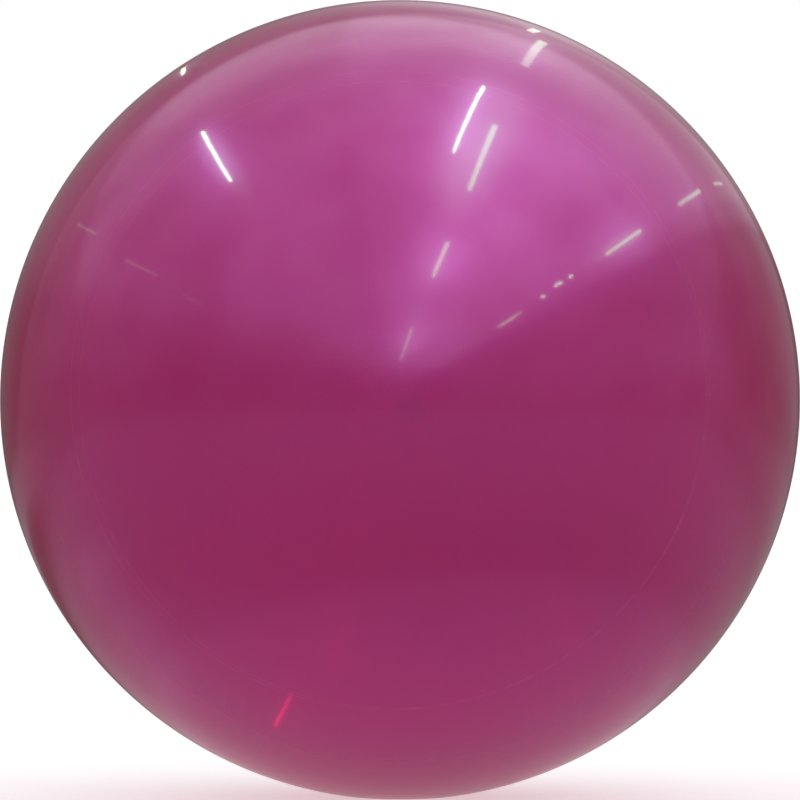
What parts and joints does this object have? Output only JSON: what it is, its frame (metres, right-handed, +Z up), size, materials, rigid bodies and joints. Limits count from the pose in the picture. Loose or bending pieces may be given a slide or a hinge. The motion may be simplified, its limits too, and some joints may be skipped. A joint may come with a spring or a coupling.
{
  "type": "bubble balloon",
  "caption": "Round blown-up balloon of pearly magenta film with faint mould rings, a gathered and knotted neck and a flat tail, lying on a small flat spot.",
  "frame": {"origin": "middle of the small flat spot that the balloon lies on", "axes": "+Z up out of the flat spot, +Y along the balloon's axis from the crown to the neck"},
  "size_m": [0.4994, 0.6116, 0.4981],
  "materials": {
    "film": "glossy pearly magenta film, slightly see-through"
  },
  "bodies": {
    "root": {"balloon": "film"}
  },
  "joints": []
}
